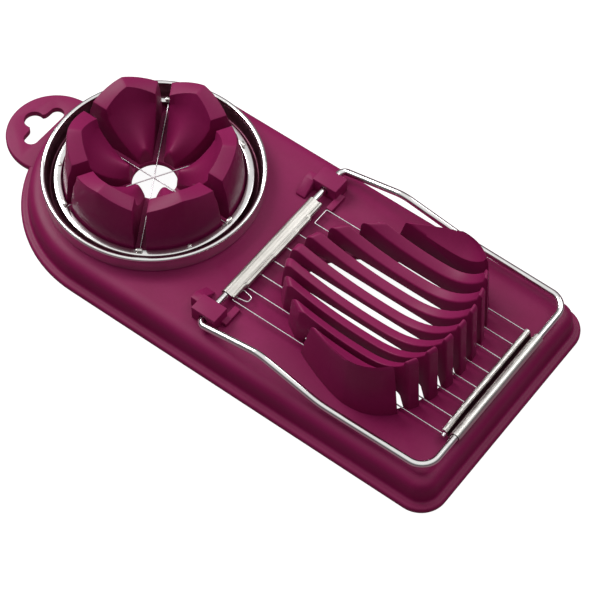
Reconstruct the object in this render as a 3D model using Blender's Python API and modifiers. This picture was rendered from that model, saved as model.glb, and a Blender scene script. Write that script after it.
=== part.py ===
"""Egg slicer with a wedge cutter: a plastic base, a hinged wire harp and a lift-off wire ring.

Frame: metres, +Z up, +X towards the slicing end. The origin lies under the middle of the bounding
box, on the surface that the base stands on.
"""

from math import acos, asin, atan2, cos, degrees, hypot, pi, radians, sin, tan

import bmesh
import bpy
from mathutils import Vector

MM = 0.001
GAP = 0.3 * MM  # clearance left between pieces that touch

# Base shell
RING_X = -43 * MM  # axis of the wedge cutter
ROUND_END_X = -41.8 * MM  # axis of the base's round end
BASE_HALF_WIDTH = 47.5 * MM
BASE_FRONT_X = 106 * MM
FRONT_CORNER_RADIUS = 9.6 * MM
DECK_Z = 11.5 * MM
WALL = 2.2 * MM
# (inset from the bottom outline, height) up the outside, from the flange to the deck
BASE_PROFILE = [
    (0.0, 0.0),
    (0.0, 1.6 * MM),
    (0.5 * MM, 2.3 * MM),
    (2.4 * MM, 2.7 * MM),
    (2.9 * MM, 3.4 * MM),
    (3.2 * MM, 7.6 * MM),
    (3.9 * MM, 9.7 * MM),
    (5.3 * MM, 11.0 * MM),
    (7.4 * MM, DECK_Z),
]

# Hanging tab
TAB_X = -88.8 * MM
TAB_RADIUS = 17.2 * MM
TAB_THICKNESS = 2.6 * MM
TAB_HOLE_BAR = (-93.6 * MM, 5.4 * MM, 9.6 * MM)  # centre x, width along x, half length along y
TAB_HOLE_TIP = (-98.2 * MM, 3.6 * MM)  # centre x, radius

# Wedge cutter petals
PETALS = 6
CENTRE_HOLE_RADIUS = 7.9 * MM
PETAL_GAP_LOW = 2.0 * MM  # half the width of the gap between petals, at the deck
PETAL_GAP_HIGH = 2.5 * MM  # and at the top
PETAL_CREST_Z = 34.8 * MM  # rim height at the middle of a petal
PETAL_SHOULDER_Z = 30.6 * MM  # rim height at its two ends
PETAL_TIP_Z = 18.6 * MM  # height of the bowl where it ends at the centre hole
PETAL_TIP_DROP = 4.4 * MM  # how much lower that is at the petal's ends
# (radius, share of the way up from the tip to the rim) along the bowl
PETAL_BOWL = [(21.2 * MM, 0.655), (18.0 * MM, 0.39), (14.6 * MM, 0.19), (11.6 * MM, 0.06)]

# Cradle
CRADLE_X = 62 * MM  # widest place of the cradle
CRADLE_HALF_WIDTH = 31.6 * MM
CRADLE_BACK = 45 * MM  # reach of the rim from CRADLE_X towards the hinge
CRADLE_FRONT = 22.2 * MM  # reach of the rim towards the front
FOOT_FLARE = 1.8 * MM  # how far the foot stands outside the rim
APERTURE_HALF_WIDTH = 25.8 * MM  # the deck's opening under the ribs
WALL_SHARES = (0.0, 0.22, 0.42, 0.6, 0.74, 0.85, 0.93, 0.975, 0.995)  # stations across a side wall
RIM_BACK_Z = 25.4 * MM
RIM_FRONT_Z = 38.6 * MM
BOWL_Z = 20.2 * MM  # lowest place of the bowl
BOWL_CURVE = 12.5  # how steeply the bowl rises to its sides, in 1/m
BOWL_LIFT = 2.2 * MM  # how much more it rises at the very side, to meet the rim
BOWL_LOW_SHARE = 0.536  # where the bowl is lowest, as a share of its length from the back
RIB_UNDER_Z = 17.4 * MM  # underside of the ribs
RIB_THICKNESS = 3.5 * MM
WIRE_PITCH = 6.93 * MM
WIRES = 8

# Harp
AXIS_X = 7.0 * MM
AXIS_Z = 14.4 * MM
ROD_RADIUS = 1.25 * MM
ARM_Y = 39.7 * MM
ARM_PEAK = (32.2 * MM, 20.2 * MM)  # x, z where the arm is highest
ARM_KNEE_X = 57.4 * MM  # where it comes back down to its straight front part
HARP_FRONT_X = 99.0 * MM
HARP_FRONT_Z = 15.2 * MM
HARP_SHIFT = 0.9 * MM  # how far the rod sits towards the far side of the middle
STRIP_HALF_LENGTH = 24.2 * MM
SHEET = 0.3 * MM
WRAP_RADIUS = ROD_RADIUS + 0.2 * MM + SHEET / 2  # mid-sheet, where a strip wraps the rod
WIRE_RADIUS = 0.25 * MM
WIRE_Z = 13.7 * MM
HINGE_LIP_X = 11.3 * MM
FRONT_LIP_X = 94.6 * MM
STRAND_OUTSIDE_X = 13.3 * MM  # hinge end of the far two strands
STRAND_INSIDE_X = 10.6 * MM  # hinge end of the others, under the lip
LOOP_X = 14.4 * MM  # reach of the loop between the near two strands

# Hinge blocks
BLOCK_INNER_Y = 29.8 * MM
BLOCK_OUTER_Y = 36.7 * MM
BLOCK_BACK_X = 2.2 * MM
BLOCK_FRONT_X = 12.0 * MM
BLOCK_TOP_Z = 17.3 * MM

# Wedger ring
RING_RADIUS = 38.3 * MM
RING_TOP_Z = 18.4 * MM
RING_LIP_RADIUS = 31.8 * MM
RING_LIP_Z = 14.7 * MM
WEDGE_WIRE_Z = 12.3 * MM  # lowest of the three, which cross over one another
WEDGE_WIRE_STEP = 0.65 * MM
WEDGE_WIRE_RADIUS = 0.2 * MM

MAROON = (0.215, 0.028, 0.082)
CHROME = (0.80, 0.80, 0.81)
STEEL = (0.62, 0.61, 0.60)


# ---------------------------------------------------------------- helpers


def clear_scene():
    for item in list(bpy.data.objects):
        bpy.data.objects.remove(item, do_unlink=True)


def new_collection(name):
    collection = bpy.data.collections.new(name)
    bpy.context.scene.collection.children.link(collection)
    return collection


def new_material(name, colour, metallic, roughness):
    material = bpy.data.materials.new(name)
    material.use_nodes = True
    shader = material.node_tree.nodes["Principled BSDF"]
    shader.inputs["Base Color"].default_value = (*colour, 1.0)
    shader.inputs["Metallic"].default_value = metallic
    shader.inputs["Roughness"].default_value = roughness
    return material


def add_object(name, data, material):
    """Links an object for mesh or curve data into the model's collection."""
    item = bpy.data.objects.new(name, data)
    data.name = name
    slicer.objects.link(item)
    data.materials.append(material.copy())
    return item


def add_cutter(name, bm):
    mesh = bpy.data.meshes.new(name)
    bm.to_mesh(mesh)
    bm.free()
    item = bpy.data.objects.new(name, mesh)
    cutters.objects.link(item)
    item.hide_render = True
    item.display_type = "WIRE"
    return item


def boolean(item, cutter, operation):
    modifier = item.modifiers.new(cutter.name, "BOOLEAN")
    modifier.operation = operation
    modifier.object = cutter


def mesh_from(bm, name):
    bmesh.ops.recalc_face_normals(bm, faces=bm.faces)
    mesh = bpy.data.meshes.new(name)
    bm.to_mesh(mesh)
    bm.free()
    mesh.shade_smooth()
    mesh.set_sharp_from_angle(angle=radians(35))
    return mesh


def loft(sections, close_ends=True):
    """Skins closed sections that all have the same number of points."""
    bm = bmesh.new()
    rings = [[bm.verts.new(point) for point in section] for section in sections]
    count = len(rings[0])
    for lower, upper in zip(rings, rings[1:]):
        for i in range(count):
            j = (i + 1) % count
            bm.faces.new((lower[i], lower[j], upper[j], upper[i]))
    if close_ends:
        bm.faces.new(reversed(rings[0]))
        bm.faces.new(rings[-1])
    return bm


def prism(outline, low, high):
    """An upright solid on a flat outline of (x, y) points."""
    return loft([[(x, y, low) for x, y in outline], [(x, y, high) for x, y in outline]])


def box(low, high):
    bm = bmesh.new()
    bmesh.ops.create_cube(bm, size=1.0)
    for vert in bm.verts:
        vert.co = Vector([(a + b) / 2 + t * (b - a) for a, b, t in zip(low, high, vert.co)])
    return bm


def cylinder(radius, depth, centre, axis="Z", segments=32):
    bm = bmesh.new()
    bmesh.ops.create_cone(
        bm, cap_ends=True, segments=segments, radius1=radius, radius2=radius, depth=depth
    )
    for vert in bm.verts:
        x, y, z = vert.co
        turned = {"X": (z, x, y), "Y": (y, z, x), "Z": (x, y, z)}[axis]
        vert.co = Vector(centre) + Vector(turned)
    return bm


def arc(centre_x, centre_y, radius, start, end, steps):
    """Points on an arc, angles in degrees, both ends included."""
    points = []
    for i in range(steps + 1):
        angle = radians(start + (end - start) * i / steps)
        points.append((centre_x + radius * cos(angle), centre_y + radius * sin(angle)))
    return points


def smooth_path(corners, bend_radius, steps):
    """A path through the corners, with each inner corner turned into a round bend."""
    points = [Vector(corners[0])]
    for before, here, after in zip(corners, corners[1:], corners[2:]):
        before, here, after = Vector(before), Vector(here), Vector(after)
        back = (before - here).normalized()
        on = (after - here).normalized()
        half = back.angle(on) / 2
        reach = min(bend_radius / tan(half), (before - here).length * 0.48, (after - here).length * 0.48)
        centre = here + (back + on).normalized() * reach / cos(half)
        start = here + back * reach - centre
        sweep = pi - 2 * half
        side = (here + on * reach - centre).normalized()
        square = (side - start.normalized() * side.dot(start.normalized())).normalized()
        for i in range(steps + 1):
            angle = sweep * i / steps
            points.append(centre + start * cos(angle) + square * start.length * sin(angle))
    points.append(Vector(corners[-1]))
    return points


def wire(name, points, radius, material, origin=(0, 0, 0), resolution=2):
    """A round wire or rod along the points, as a curve with filled caps."""
    curve = bpy.data.curves.new(name, "CURVE")
    curve.dimensions = "3D"
    curve.bevel_depth = radius
    curve.bevel_resolution = resolution
    curve.use_fill_caps = True
    spline = curve.splines.new("POLY")
    spline.points.add(len(points) - 1)
    for slot, point in zip(spline.points, points):
        slot.co = (*(Vector(point) - Vector(origin)), 1.0)
    item = add_object(name, curve, material)
    item.location = origin
    return item


def hinged(item):
    """Puts a piece of the harp under the empty on its hinge axis."""
    item.parent = harp_axis
    item.matrix_parent_inverse = harp_axis.matrix_world.inverted()


# ---------------------------------------------------------------- base


def base_outline(inset):
    """The base's outline: a half circle at the ring's end and two round corners in front."""
    radius = BASE_HALF_WIDTH - inset
    corner = FRONT_CORNER_RADIUS - inset
    front = BASE_FRONT_X - inset
    points = arc(ROUND_END_X, 0, radius, 90, 270, 24)
    points += arc(front - corner, -radius + corner, corner, -90, 0, 7)
    points += arc(front - corner, radius - corner, corner, 0, 90, 7)
    return points


def cradle_reach(y, half_width, back, front):
    """Where the cradle's oval starts and ends along X at a distance y from its middle."""
    share = max(0.0, 1 - (y / half_width) ** 2)
    back_part = 0.35 * share**0.5 + 0.65 * share**0.95
    return CRADLE_X - back * back_part, CRADLE_X + front * share**0.42


def aperture_outline():
    """The deck's opening under the cradle, from inside the back feet to under the front ones."""
    steps = 12
    back_side, front_side = [], []
    for i in range(steps + 1):
        y = APERTURE_HALF_WIDTH * (2 * i / steps - 1)
        back, front = cradle_reach(y, CRADLE_HALF_WIDTH, CRADLE_BACK, CRADLE_FRONT)
        back_side.append((back + 4.5 * MM, y))
        front_side.append((front + FOOT_FLARE - 1.5 * MM, y))
    return front_side + back_side[::-1]


def make_base_shell():
    sections = [[(x, y, z) for x, y in base_outline(inset)] for inset, z in BASE_PROFILE]
    inner_z = DECK_Z - WALL
    hollow = [(WALL + 2.4 * MM, -0.001), (WALL + 2.4 * MM, 2 * MM), (WALL + 3.4 * MM, 7.5 * MM)]
    hollow.append((WALL + 5.5 * MM, inner_z))
    shell = add_object("base_shell", mesh_from(loft(sections), "base_shell"), plastic)
    inside = [[(x, y, z) for x, y in base_outline(inset)] for inset, z in hollow]
    boolean(shell, add_cutter("shell_hollow", fixed(loft(inside))), "DIFFERENCE")
    hole = cylinder(CENTRE_HOLE_RADIUS, 20 * MM, (RING_X, 0, DECK_Z), segments=36)
    boolean(shell, add_cutter("centre_hole", hole), "DIFFERENCE")
    aperture = prism(aperture_outline(), 5 * MM, 20 * MM)
    boolean(shell, add_cutter("cradle_aperture", fixed(aperture)), "DIFFERENCE")


def fixed(bm):
    bmesh.ops.recalc_face_normals(bm, faces=bm.faces)
    return bm


def tab_hole_outline():
    """A bar with round ends across the tab, with one round lobe towards the tip."""
    centre, width, half_length = TAB_HOLE_BAR
    tip_x, tip_radius = TAB_HOLE_TIP
    end = width / 2
    right = centre + end
    points = arc(centre, half_length - end, end, 0, 180, 8)
    waist = 3.0 * MM
    points.append((centre - end, waist + 1.2 * MM))
    points.append((centre - end - 0.9 * MM, waist))
    points += arc(tip_x, 0, tip_radius, 70, 290, 10)
    points.append((centre - end - 0.9 * MM, -waist))
    points.append((centre - end, -waist - 1.2 * MM))
    points += arc(centre, -half_length + end, end, 180, 360, 8)
    points.append((right, 0))
    return points


def make_hanging_tab():
    """The flat tab outside the base's round end, cut to the base's curve."""
    reach = BASE_HALF_WIDTH + GAP
    offset = ROUND_END_X - TAB_X
    half_angle = degrees(acos((offset**2 + reach**2 - TAB_RADIUS**2) / (2 * offset * reach)))
    joint_y = reach * sin(radians(half_angle))
    joint_x = ROUND_END_X - reach * cos(radians(half_angle))
    start = degrees(atan2(joint_y, joint_x - TAB_X))
    outline = arc(TAB_X, 0, TAB_RADIUS, start, 360 - start, 30)
    outline += arc(ROUND_END_X, 0, reach, 180 + half_angle, 180 - half_angle, 8)[1:-1]
    sections = []
    for inset, z in ((0.5, 0.0), (0.0, 0.6), (0.0, 2.0), (0.5, TAB_THICKNESS / MM)):
        shrink = 1 - inset * MM / TAB_RADIUS
        section = []
        for x, y in outline:
            on_edge = hypot(x - ROUND_END_X, y) < reach + 0.05 * MM
            ratio = 1.0 if on_edge else shrink
            section.append((TAB_X + (x - TAB_X) * ratio, y * ratio, z * MM))
        sections.append(section)
    tab = add_object("hanging_tab", mesh_from(loft(sections), "hanging_tab"), plastic)
    hole = prism(tab_hole_outline(), -1 * MM, TAB_THICKNESS + 1 * MM)
    boolean(tab, add_cutter("tab_hole", fixed(hole)), "DIFFERENCE")


def petal_section(share):
    """(radius, height) round one petal's section. share is 0 at its middle and 1 at an end."""
    rim = PETAL_CREST_Z + (PETAL_SHOULDER_Z - PETAL_CREST_Z) * share
    inner = (23.9 - 1.7 * share) * MM
    outer = (28.6 - 0.6 * share) * MM
    tip = PETAL_TIP_Z - PETAL_TIP_DROP * share**2
    low = DECK_Z + GAP
    bowl = [(radius, tip + (rim - tip) * part) for radius, part in PETAL_BOWL]
    return [
        (31.2 * MM, low),
        (31.0 * MM, 14.5 * MM),
        (30.1 * MM, 22.0 * MM),
        (outer + 0.5 * MM, rim - 2.2 * MM),
        (outer, rim - 0.8 * MM),
        (outer - 0.8 * MM, rim),
        (inner + 0.8 * MM, rim),
        (inner, rim - 0.7 * MM),
        *bowl,
        (9.6 * MM, tip),
        (8.6 * MM, tip - 0.7 * MM),
        (8.2 * MM, tip - 1.9 * MM),
        (8.2 * MM, low),
    ]


def make_petals():
    half = pi / PETALS
    shares = (-1.0, -0.93, -0.66, -0.33, -0.06, 0.06, 0.33, 0.66, 0.93, 1.0)
    rise = PETAL_CREST_Z - DECK_Z
    for number in range(PETALS):
        middle = (2 * number + 1) * half
        sections = []
        for share in shares:
            section = []
            for radius, z in petal_section(abs(share)):
                side_gap = PETAL_GAP_LOW + (PETAL_GAP_HIGH - PETAL_GAP_LOW) * (z - DECK_Z) / rise
                angle = middle + share * (half - asin(side_gap / radius))
                section.append((RING_X + radius * cos(angle), radius * sin(angle), z))
            sections.append(section)
        name = f"petal_{number + 1}"
        add_object(name, mesh_from(loft(sections), name), plastic)


# ---------------------------------------------------------------- cradle


def rim_height(x):
    share = (x - (CRADLE_X - CRADLE_BACK)) / (CRADLE_BACK + CRADLE_FRONT)
    return RIM_BACK_Z + (RIM_FRONT_Z - RIM_BACK_Z) * share**0.82


def bowl_height(share, y, back_z, front_z):
    """Height of the bowl at y, a share of the way from its back rim to its front rim."""
    low = BOWL_Z + BOWL_CURVE * y**2 + BOWL_LIFT * (y / CRADLE_HALF_WIDTH) ** 8
    if share < BOWL_LOW_SHARE:
        return low + (back_z - low) * (1 - share / BOWL_LOW_SHARE) ** 2.1
    return low + (front_z - low) * ((share - BOWL_LOW_SHARE) / (1 - BOWL_LOW_SHARE)) ** 3.0


def bowl_points(y, back, front, edge, steps=14):
    """(x, z) along the cradle's inner surface at y, between rims that are edge wide."""
    points = []
    for i in range(steps + 1):
        x = back + edge + (front - back - 2 * edge) * i / steps
        share = (x - back) / (front - back)
        points.append((x, bowl_height(share, y, rim_height(back), rim_height(front))))
    return points


def rib_section(y):
    """(x, z) round the cradle's section at y: outside, over the rim, along the bowl and under."""
    back, front = cradle_reach(y, CRADLE_HALF_WIDTH, CRADLE_BACK, CRADLE_FRONT)
    foot_back, foot_front = back - FOOT_FLARE, front + FOOT_FLARE
    low = DECK_Z + GAP
    back_top = rim_height(back)
    front_top = rim_height(front)
    points = [(foot_back, low), (back - 0.3 * MM, back_top - 3.0 * MM)]
    points += [(back + 0.2 * MM, back_top - 1.8 * MM), (back + 1.0 * MM, back_top - 1.0 * MM)]
    points += bowl_points(y, back, front, 2.0 * MM)
    points += [(front - 0.9 * MM, front_top - 0.3 * MM), (front - 0.1 * MM, front_top - 1.2 * MM)]
    points.append((front + 0.2 * MM, front_top - 2.6 * MM))
    points.append((foot_front, low))
    points += [(foot_front - 2.6 * MM, low), (front - 2.4 * MM, RIB_UNDER_Z - 0.9 * MM)]
    points += [(front - 3.4 * MM, RIB_UNDER_Z), (back + 6 * MM, RIB_UNDER_Z)]
    points += [(back + 3 * MM, RIB_UNDER_Z - 2 * MM), (foot_back + 2.6 * MM, low)]
    return points


def make_cradle_ribs():
    for number in range(WIRES - 1):
        middle = (WIRES / 2 - 1 - number) * WIRE_PITCH
        near = middle - RIB_THICKNESS / 2
        far = middle + RIB_THICKNESS / 2
        sections = [[(x, y, z) for x, z in rib_section(y)] for y in (near, far)]
        name = f"cradle_rib_{number + 1}"
        add_object(name, mesh_from(loft(sections), name), plastic)


def wall_section(share, side):
    """One section of a side wall. share runs from 0 at the slot to 1 at the outermost point."""
    inner = (WIRES - 1) / 2 * WIRE_PITCH + (WIRE_PITCH - RIB_THICKNESS) / 2
    y = inner + (CRADLE_HALF_WIDTH - inner) * share
    foot_half = CRADLE_HALF_WIDTH + FOOT_FLARE
    foot_y = inner + (foot_half - inner) * share
    back, front = cradle_reach(y, CRADLE_HALF_WIDTH, CRADLE_BACK, CRADLE_FRONT)
    foot_back, foot_front = cradle_reach(
        foot_y, foot_half, CRADLE_BACK + FOOT_FLARE, CRADLE_FRONT + FOOT_FLARE
    )
    low = DECK_Z + GAP
    width = front - back
    edge = min(1.6 * MM, width * 0.2)
    upper = [(back, rim_height(back) - edge)]
    upper += bowl_points(y, back, front, edge * 0.7)
    upper.append((front, rim_height(front) - edge))
    span = foot_front - foot_back
    arch = max(0.0, 1 - (share / 0.8) ** 2)
    under = low + (RIB_UNDER_Z - low) * arch
    section = [(foot_back, side * foot_y, low)]
    section += [(x, side * y, z) for x, z in upper]
    section.append((foot_front, side * foot_y, low))
    section.append((foot_front - span * 0.07, side * foot_y, low))
    section.append((foot_front - span * 0.16, side * y, under))
    section.append((foot_back + span * 0.16, side * y, under))
    section.append((foot_back + span * 0.07, side * foot_y, low))
    return section


def make_cradle_walls():
    """The two shell-shaped walls that close the cradle's sides."""
    for name, side in (("cradle_wall_near", -1), ("cradle_wall_far", 1)):
        sections = [wall_section(share, side) for share in WALL_SHARES]
        add_object(name, mesh_from(loft(sections), name), plastic)


def make_hinge_block(name, side):
    """A block with the axle's bore, a sloping buttress on its ring side and a low foot in front."""
    low = DECK_Z + GAP
    top = BLOCK_TOP_Z
    inner, outer = BLOCK_INNER_Y, BLOCK_OUTER_Y
    edge = 0.8 * MM
    sections = []
    for inset, z in ((0, low), (0, top - edge), (edge, top)):
        corners = [(BLOCK_BACK_X + inset, inner + inset), (BLOCK_FRONT_X - inset, inner + inset)]
        corners += [(BLOCK_FRONT_X - inset, outer - inset), (BLOCK_BACK_X + inset, outer - inset)]
        sections.append([(x, side * y, z) for x, y in corners])
    block = add_object(name, mesh_from(loft(sections), name), plastic)
    slope = [(inner + 3 * MM, low), (24.6 * MM, low), (24.6 * MM, low + 0.8 * MM)]
    slope += [(inner, top - 1.2 * MM), (inner + 3 * MM, top - 1.2 * MM)]
    back = BLOCK_BACK_X - 3.2 * MM
    buttress = loft([[(x, side * y, z) for y, z in slope] for x in (back, BLOCK_BACK_X + 0.6 * MM)])
    boolean(block, add_cutter(f"{name}_buttress", fixed(buttress)), "UNION")
    foot_low = (BLOCK_FRONT_X - 0.6 * MM, min(side * 25.2 * MM, side * 33 * MM), low)
    foot_high = (BLOCK_FRONT_X + 1.9 * MM, max(side * 25.2 * MM, side * 33 * MM), low + 1.3 * MM)
    boolean(block, add_cutter(f"{name}_foot", box(foot_low, foot_high)), "UNION")
    centre = (AXIS_X, side * (inner + outer) / 2, AXIS_Z)
    bore = cylinder(ROD_RADIUS + GAP, 20 * MM, centre, "Y", 32)
    boolean(block, add_cutter(f"{name}_bore", bore), "DIFFERENCE")


# ---------------------------------------------------------------- harp


def strand_y(number):
    """Distance of slicing wire number (1 is the far one) from the middle."""
    return ((WIRES + 1) / 2 - number) * WIRE_PITCH


def make_harp_rod():
    """The bent rod: axle end, arched arm, front run, arched arm and axle end."""
    half = [
        (AXIS_X, 15 * MM, AXIS_Z),
        (AXIS_X, ARM_Y, AXIS_Z),
        (ARM_PEAK[0], ARM_Y + 0.4 * MM, ARM_PEAK[1]),
        (ARM_KNEE_X, ARM_Y + 1.2 * MM, HARP_FRONT_Z),
        (HARP_FRONT_X, ARM_Y + 0.7 * MM, HARP_FRONT_Z),
    ]
    corners = [(x, y + HARP_SHIFT, z) for x, y, z in half]
    corners += [(x, -y + HARP_SHIFT, z) for x, y, z in reversed(half)]
    bends = [2.4, 14, 34, 6.5, 6.5, 34, 14, 2.4]
    points = [Vector(corners[0])]
    for i, bend in enumerate(bends):
        points += smooth_path(corners[i : i + 3], bend * MM, 6)[1:-1]
    points.append(Vector(corners[-1]))
    rod = wire("harp_rod", points, ROD_RADIUS, chrome, (AXIS_X, 0, AXIS_Z), 4)
    hinged(rod)


def sheet_outline(path, thickness):
    """A closed outline of even thickness along a path of (x, z) points."""
    left, right = [], []
    for i, (x, z) in enumerate(path):
        before = path[max(i - 1, 0)]
        after = path[min(i + 1, len(path) - 1)]
        length = hypot(after[0] - before[0], after[1] - before[1])
        normal_x = -(after[1] - before[1]) / length * thickness / 2
        normal_z = (after[0] - before[0]) / length * thickness / 2
        left.append((x + normal_x, z + normal_z))
        right.append((x - normal_x, z - normal_z))
    return left + right[::-1]


def make_strip(name, path, half_length, notch_low, notch_high):
    """A folded sheet strip along Y, with a notch for each slicing wire."""
    outline = sheet_outline(path, SHEET)
    sections = [[(x, y, z) for x, z in outline] for y in (-half_length, half_length)]
    strip = add_object(name, mesh_from(loft(sections), name), steel)
    notches = bmesh.new()
    for number in range(1, WIRES + 1):
        y = strand_y(number)
        if abs(y) < half_length:
            low = (notch_low[0], y - 0.6 * MM, notch_low[1])
            part = box(low, (notch_high[0], y + 0.6 * MM, notch_high[1]))
            mesh = bpy.data.meshes.new("notch")
            part.to_mesh(mesh)
            part.free()
            notches.from_mesh(mesh)
            bpy.data.meshes.remove(mesh)
    boolean(strip, add_cutter(f"{name}_notches", notches), "DIFFERENCE")
    hinged(strip)


def make_hinge_strip():
    radius = WRAP_RADIUS
    path = [(AXIS_X + dx, AXIS_Z + dz) for dx, dz in arc(0, 0, radius, 250, 90, 8)]
    path += [(9.4 * MM, 15.3 * MM), (10.6 * MM, 15.5 * MM), (HINGE_LIP_X, 14.5 * MM)]
    notch_low = (HINGE_LIP_X - 1 * MM, 14.0 * MM)
    notch_high = (HINGE_LIP_X + 1 * MM, 15.0 * MM)
    make_strip("hinge_strip", path, STRIP_HALF_LENGTH, notch_low, notch_high)


def make_front_strip():
    radius = WRAP_RADIUS
    path = [(HARP_FRONT_X + dx, HARP_FRONT_Z + dz) for dx, dz in arc(0, 0, radius, 165, -150, 13)]
    path += [(96.7 * MM, 13.0 * MM), (96.2 * MM, 12.7 * MM), (95.7 * MM, 13.0 * MM)]
    path.append((95.1 * MM, 14.5 * MM))
    path.append((FRONT_LIP_X, 15.9 * MM))
    notch_low = (FRONT_LIP_X - 1 * MM, 15.1 * MM)
    notch_high = (FRONT_LIP_X + 1 * MM, 16.4 * MM)
    make_strip("front_strip", path, STRIP_HALF_LENGTH - 0.4 * MM, notch_low, notch_high)


def make_slicing_wires():
    """Eight parallel strands. The far pair starts outside the hinge strip's lip."""
    for number in range(1, WIRES + 1):
        start = STRAND_OUTSIDE_X if number in (1, 2) else STRAND_INSIDE_X
        ends = [(start, strand_y(number), WIRE_Z), (FRONT_LIP_X - GAP, strand_y(number), WIRE_Z)]
        hinged(wire(f"slicing_wire_{number}", ends, WIRE_RADIUS, steel, resolution=1))


def make_wire_turns():
    """The wire's turns at the hinge side: the far one outside the lip, two under it and one loop."""
    for number in (1, 3, 5, 7):
        first, second = strand_y(number), strand_y(number + 1)
        start = (STRAND_OUTSIDE_X if number == 1 else STRAND_INSIDE_X) - GAP
        turn_x = start - 0.7 * MM
        corners = [(start, first, WIRE_Z), (turn_x, first, WIRE_Z)]
        if number == 7:
            corners.append((turn_x, first - 1.5 * MM, WIRE_Z))
            corners.append((LOOP_X, first - 2.3 * MM, WIRE_Z))
            corners.append((LOOP_X, second + 2.3 * MM, WIRE_Z))
            corners.append((turn_x, second + 1.5 * MM, WIRE_Z))
        corners += [(turn_x, second, WIRE_Z), (start, second, WIRE_Z)]
        points = [Vector(corners[0])]
        for i in range(len(corners) - 2):
            points += smooth_path(corners[i : i + 3], 0.4 * MM, 2)[1:-1]
        points.append(Vector(corners[-1]))
        hinged(wire(f"wire_turn_{number}", points, WIRE_RADIUS, steel, resolution=1))


def make_wire_crimp():
    crimp = cylinder(0.75 * MM, 1.5 * MM, (95.3 * MM, -24.9 * MM, 14.2 * MM), "Y", 12)
    hinged(add_object("wire_crimp", mesh_from(crimp, "wire_crimp"), steel))


# ---------------------------------------------------------------- wedger ring


def make_ring_hoop():
    """The hoop's section, turned round the ring's axis: rolled rim, wall, channel and lip."""
    top, foot = RING_TOP_Z, DECK_Z + GAP
    lip_top, lip_low = RING_LIP_Z, RING_LIP_Z - 0.6 * MM
    radius = RING_RADIUS
    profile = [
        (radius - 0.5 * MM, top),
        (radius + 0.2 * MM, top - 0.2 * MM),
        (radius + 0.5 * MM, top - 0.8 * MM),
        (radius + 0.3 * MM, top - 1.4 * MM),
        (radius - 0.1 * MM, top - 1.8 * MM),
        (radius, foot + 0.6 * MM),
        (radius, foot),
        (radius - 0.7 * MM, foot),
        (radius - 1.0 * MM, foot + 1.3 * MM),
        (radius - 2.1 * MM, foot + 0.1 * MM),
        (radius - 3.1 * MM, foot + 0.1 * MM),
        (34.5 * MM, foot + 0.8 * MM),
        (34.1 * MM, foot + 1.8 * MM),
        (33.7 * MM, lip_low),
        (RING_LIP_RADIUS, lip_low),
        (RING_LIP_RADIUS, lip_top),
        (34.1 * MM, lip_top),
        (34.5 * MM, lip_top - 0.5 * MM),
        (35.0 * MM, foot + 1.2 * MM),
        (35.6 * MM, foot + 0.8 * MM),
        (36.1 * MM, foot + 1.3 * MM),
        (36.8 * MM, foot + 3.6 * MM),
        (radius - 1.2 * MM, top - 0.6 * MM),
    ]
    mesh = bpy.data.meshes.new("ring_hoop")
    edges = [(i, (i + 1) % len(profile)) for i in range(len(profile))]
    mesh.from_pydata([(r, 0, z) for r, z in profile], edges, [])
    hoop = add_object("ring_hoop", mesh, chrome)
    hoop.location = (RING_X, 0, 0)
    screw = hoop.modifiers.new("Turn", "SCREW")
    screw.steps = 60
    screw.render_steps = 60
    screw.use_merge_vertices = True
    screw.merge_threshold = 0.0001
    screw.use_normal_calculate = True


def make_wedge_wires():
    reach = 33.4 * MM
    for number in range(3):
        angle = pi / 3 * number
        z = WEDGE_WIRE_Z + WEDGE_WIRE_STEP * number
        ends = []
        for side in (-1, 1):
            ends.append((RING_X + side * reach * cos(angle), side * reach * sin(angle), z))
        wire(f"wedge_wire_{number + 1}", ends, WEDGE_WIRE_RADIUS, steel, resolution=1)


def make_wire_lugs():
    """Six bent lugs on the ring's lip, one over each end of a wedge wire."""
    for number in range(6):
        angle = pi / 3 * number
        lug = box((31.9 * MM, -1.1 * MM, 0), (33.3 * MM, 1.1 * MM, 0.9 * MM))
        bmesh.ops.bevel(lug, geom=lug.edges[:], offset=0.25 * MM, segments=1, affect="EDGES")
        name = f"wire_lug_{number + 1}"
        item = add_object(name, mesh_from(lug, name), steel)
        item.location = (RING_X, 0, RING_LIP_Z + GAP)
        item.rotation_euler = (0, 0, angle)


# ---------------------------------------------------------------- assembly

clear_scene()
slicer = new_collection("egg_slicer")
cutters = new_collection("cutters")
plastic = new_material("maroon_plastic", MAROON, 0.0, 0.38)
chrome = new_material("chrome", CHROME, 1.0, 0.12)
steel = new_material("brushed_steel", STEEL, 1.0, 0.3)

harp_axis = bpy.data.objects.new("harp_axis", None)
harp_axis.location = (AXIS_X, 0, AXIS_Z)
slicer.objects.link(harp_axis)
bpy.context.view_layer.update()

make_base_shell()
make_hanging_tab()
make_petals()
make_cradle_ribs()
make_cradle_walls()
make_hinge_block("hinge_block_near", -1)
make_hinge_block("hinge_block_far", 1)
make_harp_rod()
make_hinge_strip()
make_front_strip()
make_slicing_wires()
make_wire_turns()
make_wire_crimp()
make_ring_hoop()
make_wedge_wires()
make_wire_lugs()
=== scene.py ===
"""Looks of an egg slicer with a wedge cutter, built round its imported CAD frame."""

from math import asin, cos, hypot, pi, radians, sin, tan

import bmesh
import bpy
from mathutils import Matrix, Vector


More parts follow.
